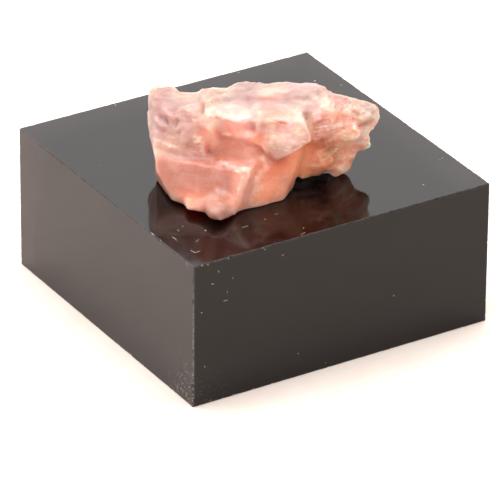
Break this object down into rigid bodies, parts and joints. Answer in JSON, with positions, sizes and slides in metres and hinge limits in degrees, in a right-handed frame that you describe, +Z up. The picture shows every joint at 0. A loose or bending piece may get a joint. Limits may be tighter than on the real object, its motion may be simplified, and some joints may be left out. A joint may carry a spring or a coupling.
{
  "type": "fluorite specimen on a display block",
  "caption": "Irregular broken piece of translucent pink fluorite, standing as a display specimen on a square block of glossy black acrylic.",
  "frame": {"origin": "centre of the block's underside", "axes": "+Z up, +X and +Y along the block's sides; the corner that the stone's tip points to is at -X -Y"},
  "size_m": [0.033, 0.033, 0.0242],
  "materials": {
    "pink_fluorite": "translucent pink to orange crystal, glassy on cleavage faces and whitish where it is broken",
    "black_acrylic": "polished black acrylic with light dust and small scuffs along its edges"
  },
  "bodies": {
    "root": {"fluorite": "pink_fluorite", "display_block": "black_acrylic"}
  },
  "joints": []
}
